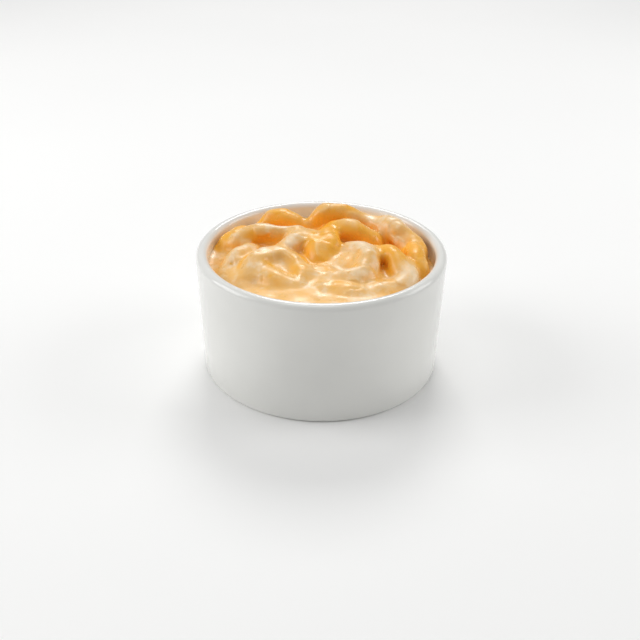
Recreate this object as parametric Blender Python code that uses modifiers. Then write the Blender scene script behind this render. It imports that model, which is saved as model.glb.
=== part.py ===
"""A round white ceramic ramekin filled with elbow macaroni in cheese sauce.

Two solids, in metres, +Z up, with the origin at the centre of the ring that the ramekin stands on:
ramekin, a turned dish, and mac_and_cheese, the filling out to its uneven heaped outline.
"""

import math

import bmesh
import bpy
from mathutils import Vector

MM = 0.001

# The dish.
RIM_RADIUS = 49.0 * MM  # outside, at the widest point of the lip
BASE_RADIUS = 47.5 * MM  # outside, where the wall meets the base's rounded edge
HEIGHT = 50.0 * MM
WALL = 4.6 * MM
FLOOR = 5.0 * MM  # height of the inside floor
FLOOR_FILLET = 7.0 * MM
BASE_EDGE = 1.2 * MM  # rounding between the wall and the foot ring
FOOT_WIDTH = 4.5 * MM
FOOT_HEIGHT = 1.0 * MM  # depth of the recess inside the foot ring
FOOT_SLOPE = 1.0 * MM
TURN_STEPS = 80

# The filling.
WALL_GAP = 0.4 * MM  # clear of the dish, which is a solid of its own
TUBE_RADIUS = 4.3 * MM  # one elbow with its coat of sauce
SAUCE_AT_WALL = 42.5 * MM  # height of the sauce between the elbows
SAUCE_AT_CENTRE = 47.5 * MM
SAUCE_FRONT_RISE = 4.5 * MM  # how much higher it stands at the front wall
VOXEL = 0.8 * MM
SMOOTH_TURNS = 5
FILLING_TRIANGLES = 5200

# Every elbow is the same bent tube, laid in the heap its own way.
BEND_RADIUS = 10.5 * MM  # of the centreline
BEND_SWEEP = 118.0  # degrees from end to end
SWEEP_SPREAD = 0.12  # share by which the sweep differs from elbow to elbow
SWEEP_TURN = 2.4  # radians from one elbow to the next in that difference
ARC_POINTS = 10

# How the top layer lies, in degrees and millimetres. Bearing goes anticlockwise from the right, so 90 is the
# back. Out is how far the crown is from the middle. Heading is the way the elbow runs. Roll leans the crown
# from straight up, at 0, to the elbow's left, at 90. Lift is the crown's height over the sauce.
TOP_LAYER = (
    # bearing, out, heading, roll, lift
    (120, 32, -15, 15, 5),  # arch at the back left
    (75, 26, 0, 0, 8),  # hump at the back, the top of the heap
    (50, 31, -45, 10, 4),  # runs down from the hump to the right
    (50, 17, -20, -15, 5),  # long crest right of the middle
    (60, 6, -85, 0, 3),  # slope in the middle
    (170, 3, -75, 0, 2),  # the slope's left half
    (160, 10, 35, 0, 3),  # ridge from the big curl up to the slope
    (-25, 19, -75, 55, 4),  # upper half of the hook
    (-65, 25, 190, 45, 1),  # lower half of the hook
    (208, 24, 45, 40, 4),  # big curl at the front left
    (232, 30, -45, -60, 2),  # the curl's lower lip
    (222, 16, -40, 70, 1),  # short one inside the curl
    (158, 27, 5, 10, 5),  # crest on the left
    (138, 15, -10, 0, 3),  # the crest's inner half
    (190, 31, 240, 10, 3),  # pale leg on the left
    (205, 30, 260, 0, 1),  # orange leg beside it
    (155, 38, 50, 0, 3),  # by the wall on the left
    (32, 34, -50, 0, 6),  # dome on the right
    (15, 38, -75, 0, 3),  # by the wall behind the dome
    (-5, 37, -85, 0, 4),  # by the wall on the right
    (-15, 27, -55, 30, 4),  # small arch in front of the dome
    (-25, 35, -80, 45, 2),  # outer arch on the right
    (-45, 36, 30, 0, 0),  # low at the front right
    (-75, 31, 0, 0, 0),  # low at the front
    (260, 18, 15, 0, -1),  # low, in front of the middle
    (212, 38, -50, 0, 0),  # by the wall at the front left
)
BACK_ROW = 5  # elbows end to end along the back wall
BACK_ROW_FROM = 60  # bearing of the first
BACK_ROW_STEP = 25
BACK_ROW_OUT = 36
BACK_ROW_LIFT = -4


def clear_scene():
    for obj in list(bpy.data.objects):
        bpy.data.objects.remove(obj)


def new_collection(name):
    collection = bpy.data.collections.new(name)
    bpy.context.scene.collection.children.link(collection)
    return collection


def new_material(name, colour, roughness):
    material = bpy.data.materials.new(name)
    material.use_nodes = True
    shader = material.node_tree.nodes["Principled BSDF"]
    shader.inputs["Base Color"].default_value = (*colour, 1.0)
    shader.inputs["Roughness"].default_value = roughness
    shader.inputs["Metallic"].default_value = 0.0
    return material


def arc_points(centre, radius, start_deg, end_deg, steps):
    """Points along an arc of a profile, as (radius, height) pairs, both ends included."""
    points = []
    for i in range(steps + 1):
        angle = math.radians(start_deg + (end_deg - start_deg) * i / steps)
        points.append((centre[0] + radius * math.cos(angle), centre[1] + radius * math.sin(angle)))
    return points


def inner_radius(height):
    """Radius of the cavity's straight wall at a height: the wall keeps its thickness as it flares."""
    top = HEIGHT - WALL / 2
    share = (height - BASE_EDGE) / (top - BASE_EDGE)
    return BASE_RADIUS + (RIM_RADIUS - BASE_RADIUS) * share - WALL


def dish_profile():
    """From the middle of the inside floor, up over the lip and down the outside to the base's middle."""
    fillet_top = FLOOR + FLOOR_FILLET
    fillet_centre = (inner_radius(fillet_top) - FLOOR_FILLET, fillet_top)
    lip_centre = (RIM_RADIUS - WALL / 2, HEIGHT - WALL / 2)
    edge_centre = (BASE_RADIUS - BASE_EDGE, BASE_EDGE)
    foot_inside = BASE_RADIUS - BASE_EDGE - FOOT_WIDTH
    profile = [(0.0, FLOOR)]
    profile += arc_points(fillet_centre, FLOOR_FILLET, -90, 0, 5)
    profile += arc_points(lip_centre, WALL / 2, 180, 0, 8)
    profile += arc_points(edge_centre, BASE_EDGE, 0, -90, 3)
    profile += [(foot_inside, 0.0), (foot_inside - FOOT_SLOPE, FOOT_HEIGHT), (0.0, FOOT_HEIGHT)]
    return profile


def sauce_height(reach):
    """Height of the low dome of sauce at a distance from the middle."""
    share = reach / (inner_radius(SAUCE_AT_WALL) - WALL_GAP)
    return SAUCE_AT_WALL + (SAUCE_AT_CENTRE - SAUCE_AT_WALL) * (1 - share**2)


def filling_profile():
    """The core of the filling: the cavity less the gap, up to a low dome of sauce."""
    fillet_top = FLOOR + FLOOR_FILLET
    fillet_centre = (inner_radius(fillet_top) - FLOOR_FILLET, fillet_top)
    wall_top = inner_radius(SAUCE_AT_WALL) - WALL_GAP
    dome = []
    for i in range(9):
        reach = wall_top * i / 8
        dome.append((reach, sauce_height(reach)))
    outside = arc_points(fillet_centre, FLOOR_FILLET - WALL_GAP, 0, -90, 5)
    return dome + outside + [(0.0, FLOOR + WALL_GAP)]


def turned(name, profile, collection):
    """A profile in the XZ plane swept round Z by a Screw modifier."""
    mesh = bpy.data.meshes.new(name)
    points = [(radius, 0.0, height) for radius, height in profile]
    edges = [(i, i + 1) for i in range(len(points) - 1)]
    mesh.from_pydata(points, edges, [])
    obj = bpy.data.objects.new(name, mesh)
    collection.objects.link(obj)
    screw = obj.modifiers.new("turn", "SCREW")
    screw.axis = "Z"
    screw.steps = TURN_STEPS
    screw.render_steps = TURN_STEPS
    screw.use_merge_vertices = True
    screw.merge_threshold = 0.00001
    screw.use_smooth_shade = True
    return obj


def flat_direction(degrees):
    return Vector((math.cos(math.radians(degrees)), math.sin(math.radians(degrees)), 0.0))


def back_row():
    """Elbows low along the back wall, bending with it, under the free space there."""
    rows = []
    for i in range(BACK_ROW):
        bearing = BACK_ROW_FROM + BACK_ROW_STEP * i
        rows.append((bearing, BACK_ROW_OUT, bearing - 90, 90, BACK_ROW_LIFT))
    return rows


def drawn_in(point):
    """The point, moved towards the axis where a tube round it would run into the wall."""
    limit = inner_radius(point.z) - WALL_GAP - TUBE_RADIUS
    reach = math.hypot(point.x, point.y)
    if reach > limit:
        point.x *= limit / reach
        point.y *= limit / reach
    return point


def elbow_line(index, bearing, out, heading, roll, lift):
    """Centreline of one elbow: an arc whose middle is the crown."""
    crown_place = flat_direction(bearing) * out * MM
    crown_place.z = sauce_height(out * MM) + lift * MM
    along = flat_direction(heading)
    left = flat_direction(heading + 90)
    upright = Vector((0.0, 0.0, 1.0))
    crown = upright * math.cos(math.radians(roll)) + left * math.sin(math.radians(roll))
    centre = crown_place - crown * BEND_RADIUS
    sweep = math.radians(BEND_SWEEP) * (1 + SWEEP_SPREAD * math.sin(SWEEP_TURN * index))
    points = []
    for i in range(ARC_POINTS):
        angle = sweep * (i / (ARC_POINTS - 1) - 0.5)
        points.append(drawn_in(centre + (crown * math.cos(angle) + along * math.sin(angle)) * BEND_RADIUS))
    return points


def elbow(name, points, collection):
    """One elbow as a bevelled curve with filled caps, made a mesh with its caps welded."""
    curve = bpy.data.curves.new(name, "CURVE")
    curve.dimensions = "3D"
    curve.bevel_depth = TUBE_RADIUS
    curve.bevel_resolution = 3
    curve.use_fill_caps = True
    spline = curve.splines.new("POLY")
    spline.points.add(len(points) - 1)
    for target, point in zip(spline.points, points):
        target.co = (*point, 1.0)
    source = bpy.data.objects.new(name + "_curve", curve)
    collection.objects.link(source)
    bpy.context.view_layer.update()
    graph = bpy.context.evaluated_depsgraph_get()
    mesh = bpy.data.meshes.new_from_object(source.evaluated_get(graph))
    bpy.data.objects.remove(source)
    return mesh


def mesh_of(obj):
    """The object's mesh with its modifiers, as a bmesh."""
    bpy.context.view_layer.update()
    graph = bpy.context.evaluated_depsgraph_get()
    made = bmesh.new()
    made.from_object(obj, graph)
    return made


def raise_front(mesh):
    """Lifts the sauce's surface towards the front wall, and leaves the sides and floor of the core alone."""
    wall_top = inner_radius(SAUCE_AT_WALL) - WALL_GAP
    for vert in mesh.verts:
        if vert.co.z >= SAUCE_AT_WALL - WALL_GAP:
            share = max(0.0, -vert.co.y) / wall_top
            vert.co.z += SAUCE_FRONT_RISE * share**2


def keep_outer_shell(mesh):
    """Drops any sealed pocket that the remesh leaves between elbows, and keeps the largest shell."""
    left = set(mesh.faces)
    shells = []
    while left:
        shell = {left.pop()}
        front = list(shell)
        while front:
            face = front.pop()
            for edge in face.edges:
                for other in edge.link_faces:
                    if other in left:
                        left.discard(other)
                        shell.add(other)
                        front.append(other)
        shells.append(shell)
    largest = max(shells, key=len)
    pockets = [face for face in mesh.faces if face not in largest]
    bmesh.ops.delete(mesh, geom=pockets, context="FACES")


def press_to_wall(mesh):
    """Brings whatever reaches past the dish's inside wall back to the gap."""
    for vert in mesh.verts:
        reach = math.hypot(vert.co.x, vert.co.y)
        limit = inner_radius(vert.co.z) - WALL_GAP
        if reach > limit:
            vert.co.x *= limit / reach
            vert.co.y *= limit / reach


def add_remesh(obj):
    """Voxel remesh and a little smoothing, which joins the elbows to the core and rounds the joins."""
    remesh = obj.modifiers.new("join", "REMESH")
    remesh.mode = "VOXEL"
    remesh.voxel_size = VOXEL
    smooth = obj.modifiers.new("soften", "SMOOTH")
    smooth.factor = 0.5
    smooth.iterations = SMOOTH_TURNS


def build_dish(collection):
    dish = turned("ramekin", dish_profile(), collection)
    dish.data.materials.append(new_material("glazed_ceramic", (0.80, 0.80, 0.78), 0.15))
    return dish


def build_filling(collection, helpers):
    """Core and elbows joined into one closed body, then thinned to a plain faceted solid."""
    core = turned("filling_core", filling_profile(), helpers)
    joined = mesh_of(core)
    raise_front(joined)
    for index, row in enumerate([*TOP_LAYER, *back_row()]):
        tube = elbow(f"elbow_{index}", elbow_line(index, *row), helpers)
        joined.from_mesh(tube)
        bpy.data.meshes.remove(tube)
    bmesh.ops.remove_doubles(joined, verts=joined.verts, dist=0.00001)
    rough = bpy.data.objects.new("filling_rough", bpy.data.meshes.new("filling_rough"))
    joined.to_mesh(rough.data)
    joined.free()
    helpers.objects.link(rough)
    add_remesh(rough)

    fine = mesh_of(rough)
    keep_outer_shell(fine)
    press_to_wall(fine)
    filling = bpy.data.objects.new("mac_and_cheese", bpy.data.meshes.new("mac_and_cheese"))
    fine.to_mesh(filling.data)
    fine.free()
    collection.objects.link(filling)
    triangles = 2 * len(filling.data.polygons)
    thin = filling.modifiers.new("thin", "DECIMATE")
    thin.ratio = FILLING_TRIANGLES / triangles
    filling.data.materials.append(new_material("cheese_sauce", (0.84, 0.50, 0.16), 0.35))
    filling.data.shade_smooth()

    for helper in (core, rough):
        bpy.data.objects.remove(helper)
    return filling


def main():
    clear_scene()
    part = new_collection("ramekin_of_mac_and_cheese")
    helpers = new_collection("helpers")
    build_dish(part)
    build_filling(part, helpers)


main()
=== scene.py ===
import math

import bmesh
import bpy
import numpy as np
import openvdb
from mathutils import Matrix, Vector


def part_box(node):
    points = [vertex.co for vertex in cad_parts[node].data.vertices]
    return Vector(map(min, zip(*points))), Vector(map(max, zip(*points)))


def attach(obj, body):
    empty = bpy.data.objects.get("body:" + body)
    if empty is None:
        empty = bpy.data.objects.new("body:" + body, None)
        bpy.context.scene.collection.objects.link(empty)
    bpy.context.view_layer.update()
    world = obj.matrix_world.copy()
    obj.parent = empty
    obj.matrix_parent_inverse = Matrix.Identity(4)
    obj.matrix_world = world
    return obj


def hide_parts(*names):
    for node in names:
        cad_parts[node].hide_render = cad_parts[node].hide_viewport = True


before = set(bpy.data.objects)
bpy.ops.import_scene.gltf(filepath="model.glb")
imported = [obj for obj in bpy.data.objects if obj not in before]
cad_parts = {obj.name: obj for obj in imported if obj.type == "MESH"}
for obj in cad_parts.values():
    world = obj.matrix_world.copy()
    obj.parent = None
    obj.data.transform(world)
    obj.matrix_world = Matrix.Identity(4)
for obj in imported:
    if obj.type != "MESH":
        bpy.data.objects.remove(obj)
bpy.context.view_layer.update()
mm = 0.001


def say(text):
    print("mac and cheese:", text)


def linear(red, green, blue):
    # 0-255 screen values to the linear ones that sockets take
    out = []
    for value in (red, green, blue):
        share = value / 255
        out.append(share / 12.92 if share <= 0.04045 else ((share + 0.055) / 1.055) ** 2.4)
    return (*out, 1.0)


def meshObject(name, points, faces, material):
    # points in millimetres, faces as quads or triangles in one array
    mesh = bpy.data.meshes.new(name)
    points = np.asarray(points, np.float64) * mm
    faces = np.asarray(faces, np.int64)
    sides = faces.shape[1]
    mesh.vertices.add(len(points))
    mesh.vertices.foreach_set("co", points.ravel())
    mesh.loops.add(faces.size)
    mesh.loops.foreach_set("vertex_index", faces.ravel())
    mesh.polygons.add(len(faces))
    mesh.polygons.foreach_set("loop_start", np.arange(len(faces)) * sides)
    mesh.polygons.foreach_set("loop_total", np.full(len(faces), sides))
    mesh.update(calc_edges=True)
    mesh.validate()
    mesh.shade_smooth()
    obj = bpy.data.objects.new(name, mesh)
    bpy.context.scene.collection.objects.link(obj)
    mesh.materials.append(material)
    return obj


def paintPoints(obj, name, values):
    layer = obj.data.attributes.new(name, "FLOAT", "POINT")
    layer.data.foreach_set("value", np.asarray(values, np.float32))


def pointsOf(obj):
    flat = np.empty(len(obj.data.vertices) * 3)
    obj.data.vertices.foreach_get("co", flat)
    return flat.reshape(-1, 3) / mm


def softStep(value, low, high):
    share = np.clip((value - low) / (high - low), 0, 1)
    return share * share * (3 - 2 * share)


def softNoise(points, cell, seed):
    # smooth value noise from -1 to 1, cell is the size of one lump
    rng = np.random.default_rng(seed)
    table = rng.uniform(-1, 1, (32, 32, 32)).astype(np.float32)
    at = points / cell + 100
    base = np.floor(at).astype(np.int64)
    share = at - base
    share = share * share * (3 - 2 * share)
    total = 0
    for corner in range(8):
        dx, dy, dz = corner & 1, corner >> 1 & 1, corner >> 2 & 1
        weight = np.abs(1 - dx - share[..., 0]) * np.abs(1 - dy - share[..., 1])
        weight = weight * np.abs(1 - dz - share[..., 2])
        picked = table[(base[..., 0] + dx) % 32, (base[..., 1] + dy) % 32, (base[..., 2] + dz) % 32]
        total = total + weight * picked
    return total


class Nodes:
    # a short way to lay nodes and wire them
    def __init__(self, name):
        self.material = bpy.data.materials.new(name)
        self.material.use_nodes = True
        self.tree = self.material.node_tree
        self.shader = self.tree.nodes["Principled BSDF"]

    def add(self, kind, **settings):
        node = self.tree.nodes.new(kind)
        for key, value in settings.items():
            setattr(node, key, value)
        return node

    def wire(self, source, target):
        self.tree.links.new(source, target)

    def setOn(self, **values):
        for key, value in values.items():
            self.shader.inputs[key.replace("_", " ")].default_value = value

    def coords(self):
        return self.add("ShaderNodeTexCoord").outputs["Object"]

    def noise(self, scale, detail=2.0, roughness=0.5):
        node = self.add("ShaderNodeTexNoise")
        node.inputs["Scale"].default_value = scale
        node.inputs["Detail"].default_value = detail
        node.inputs["Roughness"].default_value = roughness
        self.wire(self.coords(), node.inputs["Vector"])
        return node.outputs["Fac"]

    def attribute(self, name):
        return self.add("ShaderNodeAttribute", attribute_name=name).outputs["Fac"]

    def math(self, operation, first, second, clamp=False):
        node = self.add("ShaderNodeMath", operation=operation, use_clamp=clamp)
        for socket, value in zip(node.inputs, (first, second)):
            if isinstance(value, (int, float)):
                socket.default_value = value
            else:
                self.wire(value, socket)
        return node.outputs[0]

    def spread(self, value, low, high, outLow=0.0, outHigh=1.0):
        node = self.add("ShaderNodeMapRange", interpolation_type="SMOOTHSTEP")
        self.wire(value, node.inputs["Value"])
        for key, number in (("From Min", low), ("From Max", high), ("To Min", outLow), ("To Max", outHigh)):
            node.inputs[key].default_value = number
        return node.outputs["Result"]

    def mix(self, share, first, second, blend="MIX"):
        node = self.add("ShaderNodeMix", data_type="RGBA", blend_type=blend)
        sockets = (node.inputs[0], node.inputs[6], node.inputs[7])
        for socket, value in zip(sockets, (share, first, second)):
            if isinstance(value, (int, float, tuple)):
                socket.default_value = value
            else:
                self.wire(value, socket)
        return node.outputs[2]

    def bump(self, height, strength, distance):
        node = self.add("ShaderNodeBump")
        node.inputs["Strength"].default_value = strength
        node.inputs["Distance"].default_value = distance
        self.wire(height, node.inputs["Height"])
        self.wire(node.outputs["Normal"], self.shader.inputs["Normal"])


def cheeseSauceMaterial():
    m = Nodes("cheese_sauce")
    # the palest colour is painted sheen laid on ridges and up-facing tops; the darkest is painted shade for
    # crevices
    look = {
        "paintedSheen": linear(251, 222, 182),
        "cream": linear(246, 195, 118),
        "cheddar": linear(252, 182, 58),
        "paintedShadeColour": linear(242, 162, 38),
    }
    blotch = m.noise(120, 2.0)
    streak = m.noise(420, 3.0)
    # each elbow's coat of cream, with painted sheen on ridges and tops and painted shade in crevices mixed
    # in
    cream = m.attribute("creamAndPaintedSheen")
    shifted = m.math("ADD", cream, m.math("MULTIPLY", m.math("SUBTRACT", blotch, 0.5), 1.5))
    shifted = m.math("ADD", shifted, m.math("MULTIPLY", m.math("SUBTRACT", streak, 0.5), 0.35))
    creamWithSheen = m.mix(m.spread(shifted, 0.18, 0.82), look["cheddar"], look["cream"])
    streaked = m.math("ADD", shifted, m.math("MULTIPLY", m.math("SUBTRACT", streak, 0.5), 0.9))
    # the palest colour goes where the share runs highest: painted sheen on ridges and tops
    creamWithSheen = m.mix(m.spread(streaked, 0.70, 1.50), creamWithSheen, look["paintedSheen"])
    # crevices are darkened toward the deepest orange: painted shade
    paintedCreaseShade = m.spread(m.attribute("paintedCreaseShade"), 0.45, 1.0, 0.0, 0.28)
    colour = m.mix(paintedCreaseShade, creamWithSheen, look["paintedShadeColour"])
    m.wire(colour, m.shader.inputs["Base Color"])
    m.wire(m.spread(m.noise(260, 3.0), 0.35, 0.65, 0.22, 0.50), m.shader.inputs["Roughness"])
    m.setOn(IOR=1.45, Subsurface_Weight=0.18, Subsurface_Scale=0.002, Coat_Weight=0.22, Coat_Roughness=0.28)
    m.shader.inputs["Subsurface Radius"].default_value = (1.0, 0.8, 0.5)
    m.bump(m.noise(700, 2.0), 0.12, 0.0002)
    return m.material


def pastaMaterial():
    m = Nodes("cooked_macaroni")
    look = {"pale": linear(242, 180, 84), "golden": linear(250, 184, 60)}
    tint = m.spread(m.noise(180, 2.0), 0.35, 0.65)
    m.wire(m.mix(tint, look["golden"], look["pale"]), m.shader.inputs["Base Color"])
    m.wire(m.spread(m.noise(300, 2.0), 0.3, 0.7, 0.26, 0.42), m.shader.inputs["Roughness"])
    m.setOn(IOR=1.45, Subsurface_Weight=0.2, Subsurface_Scale=0.002, Coat_Weight=0.3, Coat_Roughness=0.15)
    m.bump(m.noise(600, 2.0), 0.08, 0.0002)
    return m.material


def glazeMaterial():
    m = Nodes("white_glaze")
    look = {"white": linear(236, 236, 232), "thin": linear(233, 233, 229)}
    m.wire(m.mix(m.spread(m.noise(35, 2.0), 0.35, 0.65), look["thin"], look["white"]),
           m.shader.inputs["Base Color"])
    m.wire(m.spread(m.noise(55, 3.0), 0.3, 0.7, 0.10, 0.17), m.shader.inputs["Roughness"])
    m.setOn(IOR=1.5, Coat_Weight=0.2, Coat_Roughness=0.05)
    m.bump(m.noise(60, 2.0), 0.05, 0.0003)
    return m.material


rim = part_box("ramekin")
ramekin = {
    "rimRadius": (rim[1][0] - rim[0][0]) / 2 / mm,
    "height": (rim[1][2] - rim[0][2]) / mm,
    "taper": 1.5,          # how much narrower the base is, in radius
    "wall": 4.6,
    "floor": 5.0,
    "floorFillet": 7.0,
    "baseEdge": 1.2,
    "footWidth": 4.5,
    "footHeight": 1.0,
    "turnSteps": 256,
}


def insideRadius(height):
    # the cavity's wall flares like the outside does
    top = ramekin["height"] - ramekin["wall"] / 2
    share = (height - ramekin["baseEdge"]) / (top - ramekin["baseEdge"])
    base = ramekin["rimRadius"] - ramekin["taper"]
    return base + ramekin["taper"] * share - ramekin["wall"]


def arcOf(centreRadius, centreHeight, radius, fromDeg, toDeg, steps):
    angles = np.radians(np.linspace(fromDeg, toDeg, steps + 1))
    return [(centreRadius + radius * math.cos(a), centreHeight + radius * math.sin(a)) for a in angles]


def ramekinProfile():
    d = ramekin
    filletTop = d["floor"] + d["floorFillet"]
    lip = d["wall"] / 2
    baseRadius = d["rimRadius"] - d["taper"]
    footInside = baseRadius - d["baseEdge"] - d["footWidth"]
    profile = [(0.0, d["floor"])]
    profile += [(radius, d["floor"]) for radius in (12.0, 24.0)]
    profile += arcOf(insideRadius(filletTop) - d["floorFillet"], filletTop, d["floorFillet"], -90, 0, 10)
    profile += [(insideRadius(height), height) for height in (20.0, 30.0, 40.0)]
    profile += arcOf(d["rimRadius"] - lip, d["height"] - lip, lip, 180, 0, 24)
    for height in (40.0, 30.0, 20.0, 10.0):
        profile.append((insideRadius(height) + d["wall"], height))
    profile += arcOf(baseRadius - d["baseEdge"], d["baseEdge"], d["baseEdge"], 0, -90, 8)
    profile += [(footInside, 0.0), (footInside - 1.0, d["footHeight"]), (0.0, d["footHeight"])]
    return profile


def makeRamekin():
    profile = ramekinProfile()
    count = ramekin["turnSteps"]
    rings = profile[1:-1]
    angles = np.linspace(0, 2 * math.pi, count, endpoint=False)
    points = [(0.0, 0.0, profile[0][1])]
    for radius, height in rings:
        points += [(radius * math.cos(a), radius * math.sin(a), height) for a in angles]
    points.append((0.0, 0.0, profile[-1][1]))
    bm = bmesh.new()
    verts = [bm.verts.new(Vector(point) * mm) for point in points]
    last = len(verts) - 1
    for i in range(count):
        following = (i + 1) % count
        bm.faces.new((verts[0], verts[1 + i], verts[1 + following]))
        for ring in range(len(rings) - 1):
            low = 1 + ring * count
            high = low + count
            bm.faces.new((verts[low + i], verts[high + i], verts[high + following], verts[low + following]))
        bottom = 1 + (len(rings) - 1) * count
        bm.faces.new((verts[last], verts[bottom + following], verts[bottom + i]))
    mesh = bpy.data.meshes.new("ramekin_glazed")
    bm.to_mesh(mesh)
    bm.free()
    mesh.shade_smooth()
    mesh.set_sharp_from_angle(angle=math.radians(38))
    mesh.materials.append(glazeMaterial())
    dish = bpy.data.objects.new("ramekin_glazed", mesh)
    bpy.context.scene.collection.objects.link(dish)
    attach(dish, "root")
    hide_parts("ramekin")
    say("ramekin turned")
    return dish


# every elbow is the same bent tube; each row says how one lies in the heap, in degrees and millimetres
# bearing: anticlockwise from the right, 90 is the back; out: how far its crown is from the middle
# heading: the way it runs; roll: its crown leans from straight up (0) to its left (90)
# lift: its crown over the sauce; cream: its coat, 0 cheddar to 1 cream; open: the end left open to see
macaroni = {
    "outerRadius": 3.85,
    "boreRadius": 2.55,
    "ringPoints": 28,
    "lengthPoints": 22,
    "bendRadius": 10.5,
    "bendSweep": 118.0,
    "sweepSpread": 0.12,
    "sweepTurn": 2.4,
    "coatedRadius": 4.3,    # with its sauce, which keeps it off the wall
    "topLayer": [
        # bearing, out, heading, roll, lift, cream, open
        (120, 32, -15, 15, 5, 0.25, ""),  # arch at the back left
        (75, 26, 0, 0, 8, 0.35, ""),  # hump at the back, the top of the heap
        (50, 31, -45, 10, 4, 0.80, ""),  # runs down from the hump to the right
        (50, 17, -20, -15, 5, 0.10, ""),  # long crest right of the middle
        (60, 6, -85, 0, 3, 0.00, ""),  # slope in the middle
        (170, 3, -75, 0, 2, 0.10, ""),  # the slope's left half
        (160, 10, 35, 0, 3, 0.85, ""),  # ridge from the big curl up to the slope
        (-25, 19, -75, 55, 4, 0.85, ""),  # upper half of the hook
        (-65, 25, 190, 45, 1, 0.65, ""),  # lower half of the hook
        (208, 24, 45, 40, 4, 0.65, ""),  # big curl at the front left
        (232, 30, -45, -60, 2, 0.60, ""),  # the curl's lower lip
        (222, 16, -40, 70, 1, 0.30, "last"),  # short one inside the curl
        (158, 27, 5, 10, 5, 0.75, ""),  # crest on the left
        (138, 15, -10, 0, 3, 0.60, ""),  # the crest's inner half
        (190, 31, 240, 10, 3, 0.80, ""),  # pale leg on the left
        (205, 30, 260, 0, 1, 0.05, ""),  # orange leg beside it
        (155, 38, 50, 0, 3, 0.00, ""),  # by the wall on the left
        (32, 34, -50, 0, 6, 0.90, ""),  # dome on the right
        (15, 38, -75, 0, 3, 0.50, ""),  # by the wall behind the dome
        (-5, 37, -85, 0, 4, 0.00, ""),  # by the wall on the right
        (-15, 27, -55, 30, 4, 0.10, ""),  # small arch in front of the dome
        (-25, 35, -80, 45, 2, 0.75, "last"),  # outer arch on the right
        (-45, 36, 30, 0, 0, 0.70, ""),  # low at the front right
        (-75, 31, 0, 0, 0, 0.60, ""),  # low at the front
        (260, 18, 15, 0, -1, 0.50, ""),  # low, in front of the middle
        (212, 38, -50, 0, 0, 0.60, ""),  # by the wall at the front left
    ],
    "backRow": {"count": 5, "from": 60, "step": 25, "out": 36, "lift": -4, "cream": 0.5},
    "bedAtWall": 42.5,      # the low dome that the lifts are measured from
    "bedAtCentre": 47.5,
    "wallGap": 0.4,
}


def elbowRows():
    # the top layer, then a row laid end to end along the back wall
    row = macaroni["backRow"]
    rows = list(macaroni["topLayer"])
    for i in range(row["count"]):
        bearing = row["from"] + row["step"] * i
        rows.append((bearing, row["out"], bearing - 90, 90, row["lift"], row["cream"], ""))
    return rows


def flatDirection(degrees):
    return np.array([math.cos(math.radians(degrees)), math.sin(math.radians(degrees)), 0.0])


def elbowLine(index, row, count):
    # the centreline, an arc whose middle is the crown, with the arc's normal and its centre
    bearing, out, heading, roll, lift = row[:5]
    radius = macaroni["bendRadius"]
    bedShare = out / (insideRadius(macaroni["bedAtWall"]) - macaroni["wallGap"])
    bed = macaroni["bedAtWall"] + (macaroni["bedAtCentre"] - macaroni["bedAtWall"]) * (1 - bedShare ** 2)
    place = flatDirection(bearing) * out + np.array([0, 0, bed + lift])
    along = flatDirection(heading)
    lean = math.radians(roll)
    crown = np.array([0, 0, math.cos(lean)]) + flatDirection(heading + 90) * math.sin(lean)
    centre = place - crown * radius
    sweep = math.radians(macaroni["bendSweep"])
    sweep *= 1 + macaroni["sweepSpread"] * math.sin(macaroni["sweepTurn"] * index)
    angles = (np.linspace(-0.5, 0.5, count) * sweep)[:, None]
    points = centre + radius * (np.cos(angles) * crown + np.sin(angles) * along)
    limit = insideRadius(points[:, 2]) - macaroni["wallGap"] - macaroni["coatedRadius"]
    reach = np.hypot(points[:, 0], points[:, 1])
    points[:, :2] *= np.minimum(1, limit / reach)[:, None]
    return points, np.cross(along, crown), centre


def waver(points):
    # how far the tubes stray from their arcs
    stray = [softNoise(points, sauce["waverCell"], seed) for seed in (21, 22, 23)]
    return np.stack(stray, -1) * sauce["waver"]


def tubeFrame(centres, normal):
    along = np.gradient(centres, axis=0)
    along = along / np.linalg.norm(along, axis=1)[:, None]
    outward = np.cross(along, normal)
    return along, outward


def macaroniTube(index, row, seed):
    # one hollow elbow as rings: out along the outside, back along the bore
    rng = np.random.default_rng(seed)
    centres, normal, _ = elbowLine(index, row, macaroni["lengthPoints"])
    along, outward = tubeFrame(centres, normal)
    turn = np.linspace(0, 2 * math.pi, macaroni["ringPoints"], endpoint=False)
    squash = rng.uniform(0.95, 1.0)
    lean = rng.uniform(0, math.pi)
    share = np.linspace(0, 1, len(centres))
    lumps = 1 + 0.02 * np.sin(share * rng.uniform(5, 9) + rng.uniform(0, 6))

    def rings(radius, order):
        rows = []
        for i in order:
            oval = 1 + (squash - 1) * np.cos(2 * (turn - lean))
            reach = (radius * lumps[i] * oval)[:, None]
            ring = np.cos(turn)[:, None] * outward[i] + np.sin(turn)[:, None] * normal
            rows.append(centres[i] + reach * ring)
        return rows

    count = len(centres)
    rows = rings(macaroni["outerRadius"], range(count))
    rows += rings(macaroni["boreRadius"], range(count - 1, -1, -1))
    rows = np.array(rows)
    rowCount, across = rows.shape[:2]
    i, j = np.meshgrid(np.arange(rowCount), np.arange(across), indexing="ij")
    a = i * across + j
    b = i * across + (j + 1) % across
    c = (i + 1) % rowCount * across + (j + 1) % across
    d = (i + 1) % rowCount * across + j
    faces = np.stack([a, b, c, d], -1).reshape(-1, 4)
    rows = rows.reshape(-1, 3)
    return rows - waver(rows), faces


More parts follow.
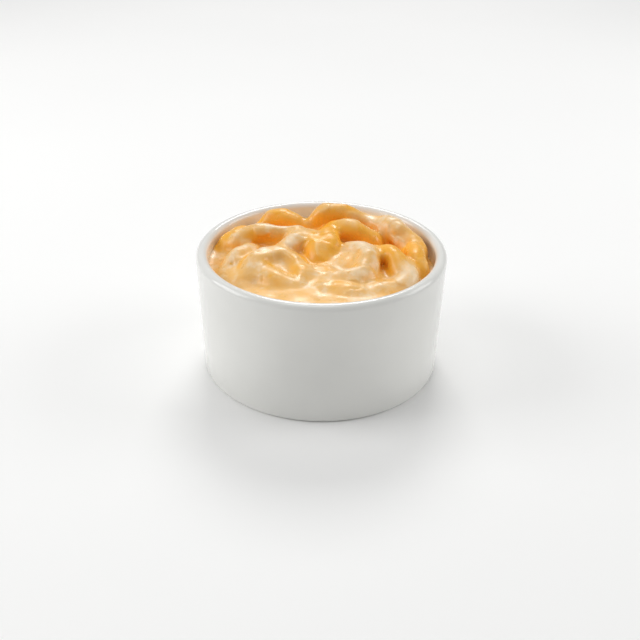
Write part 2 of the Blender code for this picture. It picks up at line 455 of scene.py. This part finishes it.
def makeMacaroni():
    points = []
    faces = []
    start = 0
    for index, row in enumerate(elbowRows()):
        tubePoints, tubeFaces = macaroniTube(index, row, 40 + index)
        points.append(tubePoints)
        faces.append(tubeFaces + start)
        start += len(tubePoints)
    obj = meshObject("macaroni_elbows", np.vstack(points), np.vstack(faces), pastaMaterial())
    bm = bmesh.new()
    bm.from_mesh(obj.data)
    bmesh.ops.recalc_face_normals(bm, faces=bm.faces)
    bm.to_mesh(obj.data)
    bm.free()
    obj.data.set_sharp_from_angle(angle=math.radians(50))
    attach(obj, "root")
    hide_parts("mac_and_cheese")
    say(f"{len(elbowRows())} elbows of macaroni")
    return obj


sauce = {
    "voxel": 0.45,
    "gridLow": 33.0,        # the skin is modelled from here up, below it is a plain plug
    "gridHigh": 60.0,
    "cutHeight": 36.0,
    "coat": 0.25,           # thinnest coat of sauce over an elbow
    "sheetStep": 0.35,      # how much thicker it is where a sheet of sauce lies
    "waver": 0.8,           # how far the tubes stray from their arcs
    "waverCell": 7.0,
    "sheetCell": 6.0,       # size of a sheet of sauce
    "sheetSeed": 11,
    "lumps": 0.22,          # small unevenness of the coat
    "lumpCell": 3.2,
    "elbowBlend": 3.2,      # how softly two elbows run together
    "poolBlend": 2.6,       # how softly an elbow sinks into the pool
    "poolCentre": 47.8,
    "poolAtWall": {"front": 47.4, "right": 41.5, "back": 43.0, "left": 43.5},
    "poolCream": 0.62,
    "creep": 0.9,           # rise of the sauce where it touches the wall
    "intoWall": 0.15,
    "crookFrom": 40,        # degrees of roll from which sauce gathers in an elbow's bend
    "crookSink": 2.6,
    "crookRadius": 7.0,
    "crookDepth": 3.6,
    "crookBlend": 3.0,
}


def poolHeight(x, y):
    reach = np.sqrt(x * x + y * y) + 1e-6
    ways = sauce["poolAtWall"]
    toFront = np.clip(-y / reach, 0, 1) ** 2
    toBack = np.clip(y / reach, 0, 1) ** 2
    toRight = np.clip(x / reach, 0, 1) ** 2
    toLeft = np.clip(-x / reach, 0, 1) ** 2
    wall = toFront * ways["front"] + toBack * ways["back"] + toRight * ways["right"] + toLeft * ways["left"]
    share = np.clip(reach / 44, 0, 1)
    height = wall + (sauce["poolCentre"] - wall) * (1 - share ** 2)
    points = np.stack([x, y, np.zeros_like(x)], -1)
    height = height + 0.55 * softNoise(points, 9.0, 3) + 0.15 * softNoise(points, 4.0, 4)
    return height + sauce["creep"] * np.exp(-np.clip(44.2 - reach, 0, None) / 1.0)


def softUnion(first, second, blend):
    share = np.clip(0.5 + 0.5 * (second - first) / blend, 0, 1)
    return second + (first - second) * share - blend * share * (1 - share)


def distanceToArc(points, centres):
    best = np.full(points.shape[:-1], 1e9, np.float32)
    for a, b in zip(centres[:-1], centres[1:]):
        run = (b - a).astype(np.float32)
        rel = points - a.astype(np.float32)
        share = np.clip(rel @ run / run.dot(run), 0, 1)
        gap = rel - share[..., None] * run
        best = np.minimum(best, np.einsum("...i,...i->...", gap, gap))
    return np.sqrt(best)


def gridSpan(centres, margin, xs, zs):
    # the slices of the grid that hold these points and a margin round them
    low = centres.min(0) - margin
    high = centres.max(0) + margin
    lines = (xs, xs, zs)
    return tuple(slice(*np.searchsorted(lines[axis], (low[axis], high[axis]))) for axis in range(3))


def crookOfSauce(bent, bendCentre, centres, xs, zs):
    # sauce gathers in the bend of an elbow that lies on its side: a flattened drop between the tube's ends
    middle = (bendCentre + centres.mean(0)) / 2
    middle[2] = centres[:, 2].mean() - sauce["crookSink"]
    span = gridSpan(middle[None], sauce["crookRadius"] + 4, xs, zs)
    flatness = sauce["crookDepth"] / sauce["crookRadius"]
    away = (bent[span] - middle) * np.array([1, 1, 1 / flatness])
    return span, (np.linalg.norm(away, axis=-1) - sauce["crookRadius"]) * flatness


def sauceField():
    # distance to the sauce's surface on a regular grid, negative inside
    step = sauce["voxel"]
    half = 46.0
    xs = np.arange(-half, half + step, step, dtype=np.float32)
    zs = np.arange(sauce["gridLow"], sauce["gridHigh"], step, dtype=np.float32)
    grid = np.stack(np.meshgrid(xs, xs, zs, indexing="ij"), -1)
    # the tubes are bent a little out of true, and the sauce lies on them in soft-edged sheets
    bent = grid + waver(grid)
    sheet = softStep(softNoise(grid, sauce["sheetCell"], sauce["sheetSeed"]), -0.12, 0.12)
    lumps = sauce["lumps"] * softNoise(grid, sauce["lumpCell"], 12)
    coat = sauce["coat"] + sauce["sheetStep"] * sheet + lumps
    elbows = np.full(grid.shape[:3], 8.0, np.float32)
    for index, row in enumerate(elbowRows()):
        centres, _, bendCentre = elbowLine(index, row, 14)
        span = gridSpan(centres, 9, xs, zs)
        gap = distanceToArc(bent[span], centres) - macaroni["outerRadius"]
        # a creamier elbow has a thicker coat
        gap = gap - coat[span] * (0.7 + 0.6 * row[5])
        elbows[span] = softUnion(elbows[span], gap, sauce["elbowBlend"])
        if abs(row[3]) >= sauce["crookFrom"]:
            gathered = crookOfSauce(bent, bendCentre, centres, xs, zs)
            elbows[gathered[0]] = softUnion(elbows[gathered[0]], gathered[1], sauce["crookBlend"])
    pool = (grid[..., 2] - poolHeight(grid[:, :, 0, 0], grid[:, :, 0, 1])[:, :, None]) * 0.92
    field = softUnion(elbows, pool, sauce["poolBlend"])
    reach = np.hypot(grid[..., 0], grid[..., 1])
    wall = reach - (insideRadius(grid[..., 2]) + sauce["intoWall"])
    field = np.maximum(field, wall)
    field[:, :, 0] = 1.0
    return field.astype(np.float32), xs, zs


def carveOpenEnds(field, xs, zs):
    # where an end shows, the skin opens into the tube's bore
    for index, row in enumerate(elbowRows()):
        if not row[6]:
            continue
        centres = elbowLine(index, row, 22)[0]
        if row[6] == "last":
            centres = centres[::-1]
        inward = centres[:6]
        outside = centres[0] + (centres[0] - centres[1]) * 4
        path = np.vstack([outside, inward])
        span = gridSpan(path, 5, xs, zs)
        grid = np.stack(np.meshgrid(xs[span[0]], xs[span[1]], zs[span[2]], indexing="ij"), -1)
        hole = distanceToArc(grid + waver(grid), path) - (macaroni["boreRadius"] + 0.15)
        field[span] = np.maximum(field[span], -hole)


def skinMesh(field, xs, zs):
    vdb = openvdb.FloatGrid(8.0)
    vdb.copyFromArray(field)
    points, quads = vdb.convertToQuads(isovalue=0.0)
    step = sauce["voxel"]
    points = points * step + np.array([xs[0], xs[0], zs[0]])
    return points, quads[:, ::-1].astype(np.int64)


def closeBelow(obj):
    # the skin is cut flat and the rest of the filling goes down to the dish's floor as a plain plug
    bm = bmesh.new()
    bm.from_mesh(obj.data)
    geom = bm.verts[:] + bm.edges[:] + bm.faces[:]
    bmesh.ops.bisect_plane(bm, geom=geom, dist=1e-7, plane_co=(0, 0, sauce["cutHeight"] * mm),
                           plane_no=(0, 0, 1), clear_inner=True)
    loop = [edge for edge in bm.edges if edge.is_boundary]
    filletTop = ramekin["floor"] + ramekin["floorFillet"]
    steps = [(insideRadius(h) + sauce["intoWall"], h) for h in (24.0, filletTop)]
    steps += arcOf(insideRadius(filletTop) - ramekin["floorFillet"], filletTop,
                   ramekin["floorFillet"] + sauce["intoWall"], 0, -90, 6)[1:]
    for radius, height in steps:
        made = bmesh.ops.extrude_edge_only(bm, edges=loop)["geom"]
        loop = [item for item in made if isinstance(item, bmesh.types.BMEdge) and item.is_boundary]
        for vert in {v for edge in loop for v in edge.verts}:
            reach = math.hypot(vert.co.x, vert.co.y)
            vert.co.x *= radius * mm / reach
            vert.co.y *= radius * mm / reach
            vert.co.z = height * mm
    bmesh.ops.holes_fill(bm, edges=loop)
    bmesh.ops.recalc_face_normals(bm, faces=bm.faces)
    bm.to_mesh(obj.data)
    bm.free()
    obj.data.shade_smooth()


def blurred(values, width):
    # three box blurs along each axis, close to a gaussian
    for axis in range(3):
        for _ in range(3):
            sums = np.cumsum(np.pad(values, [(width + 1, width) if a == axis else (0, 0) for a in range(3)],
                                    mode="edge"), axis=axis)
            upper = np.take(sums, np.arange(2 * width + 1, sums.shape[axis]), axis=axis)
            lower = np.take(sums, np.arange(0, sums.shape[axis] - 2 * width - 1), axis=axis)
            values = (upper - lower) / (2 * width + 1)
    return values


def paintSauce(obj, field, xs, zs):
    points = pointsOf(obj)
    step = sauce["voxel"]
    full = blurred((field < 0).astype(np.float32), 4)
    cell = np.round((points - np.array([xs[0], xs[0], zs[0]])) / step).astype(int)
    cell = np.clip(cell, 0, np.array(full.shape) - 1)
    crowd = full[cell[:, 0], cell[:, 1], cell[:, 2]]
    # crevices, where the skin is shut in, get painted shade
    paintPoints(obj, "paintedCreaseShade", softStep(crowd, 0.45, 0.80))
    weight = np.zeros(len(points))
    cream = np.zeros(len(points))
    nearest = np.full(len(points), 9.0)
    bent = (points + waver(points)).astype(np.float32)
    for index, row in enumerate(elbowRows()):
        centres = elbowLine(index, row, 12)[0]
        near = np.flatnonzero(np.linalg.norm(points - centres.mean(0), axis=1) < 24)
        gap = distanceToArc(bent[near], centres) - macaroni["outerRadius"]
        pull = np.exp(-np.clip(gap, -0.3, None) / 0.55)
        weight[near] += pull
        cream[near] += pull * row[5]
        nearest[near] = np.minimum(nearest[near], gap)
    thick = softStep(nearest, 0.6, 2.6)
    share = cream / np.maximum(weight, 1e-6)
    share = share * (1 - thick) + sauce["poolCream"] * thick
    normals = np.empty(len(points) * 3)
    obj.data.vertices.foreach_get("normal", normals)
    facesUp = normals.reshape(-1, 3)[:, 2]
    # paler where the skin stands out and faces up: painted sheen and highlight from the lamps above and
    # behind, with painted shade in the crevices; the sheets add real cream
    sheet = softStep(softNoise(points, sauce["sheetCell"], sauce["sheetSeed"]), -0.35, 0.35)
    lift = 0.8 * (0.5 - crowd) + 0.55 * (facesUp - 0.62) + 0.3 * (sheet - 0.5)
    paintPoints(obj, "creamAndPaintedSheen", np.clip(share + lift, 0, 1.4))


def makeSauce():
    field, xs, zs = sauceField()
    say("sauce field laid")
    carveOpenEnds(field, xs, zs)
    points, quads = skinMesh(field, xs, zs)
    obj = meshObject("cheese_sauce_body", points, quads, cheeseSauceMaterial())
    closeBelow(obj)
    paintSauce(obj, field, xs, zs)
    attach(obj, "root")
    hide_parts("mac_and_cheese")
    say(f"sauce skin of {len(obj.data.polygons)} faces")
    return obj


studio = {
    "floorColour": linear(250, 250, 249),
    "floorHalf": 2.5,
    "worldStrength": 0.33,
    "lamps": [
        # name, aim from (x, y, z) in metres, size, watts
        ("softbox_back", (0.05, 1.40, 1.50), 0.80, 14.6),
        ("softbox_left", (-0.85, 0.00, 0.50), 0.60, 4.0),
        ("softbox_right", (0.85, 0.10, 0.45), 0.50, 2.5),
        ("softbox_top", (-0.10, 0.00, 1.10), 0.50, 1.5),
    ],
}

shot = {
    "aim": (-0.3 * mm, 0.0, 17.0 * mm),
    "distance": 363.0 * mm,
    "elevation": 29.7,
    "roll": 0.7,
    "lens": 49.8,
}


def makeFloor():
    m = Nodes("pale_floor")
    m.wire(m.mix(m.spread(m.noise(3, 2.0), 0.3, 0.7), studio["floorColour"], linear(248, 248, 247)),
           m.shader.inputs["Base Color"])
    m.setOn(Roughness=0.75)
    half = studio["floorHalf"] / mm
    corners = [(-half, -half, 0), (half, -half, 0), (half, half, 0), (-half, half, 0)]
    floor = meshObject("studio_floor", corners, [(0, 1, 2, 3)], m.material)


def makeLight():
    world = bpy.data.worlds.new("studio")
    bpy.context.scene.world = world
    world.use_nodes = True
    background = world.node_tree.nodes["Background"]
    background.inputs["Color"].default_value = (1, 1, 1, 1)
    background.inputs["Strength"].default_value = studio["worldStrength"]
    aim = Vector((0, 0, 0.04))
    for name, place, size, watts in studio["lamps"]:
        lamp = bpy.data.lights.new(name, "AREA")
        lamp.shape = "SQUARE"
        lamp.size = size
        lamp.energy = watts
        lamp.color = (1, 1, 1)
        obj = bpy.data.objects.new(name, lamp)
        obj.location = place
        obj.rotation_euler = (aim - Vector(place)).to_track_quat("-Z", "Y").to_euler()
        bpy.context.scene.collection.objects.link(obj)
    say("studio lit")


def makeCamera():
    lens = bpy.data.cameras.new("view")
    lens.lens = shot["lens"]
    lens.sensor_width = 36.0
    lens.clip_start = 0.01
    camera = bpy.data.objects.new("view", lens)
    tilt = math.radians(shot["elevation"])
    away = Vector((0, -math.cos(tilt), math.sin(tilt))) * shot["distance"]
    turn = Matrix.Rotation(math.radians(90) - tilt, 4, "X")
    turn = turn @ Matrix.Rotation(math.radians(shot["roll"]), 4, "Z")
    camera.matrix_world = Matrix.Translation(Vector(shot["aim"]) + away) @ turn
    bpy.context.scene.collection.objects.link(camera)
    bpy.context.scene.camera = camera


makeCamera()
makeFloor()
makeLight()
makeRamekin()
makeMacaroni()
makeSauce()

bpy.context.scene.view_settings.view_transform = "Standard"

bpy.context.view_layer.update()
say("done")
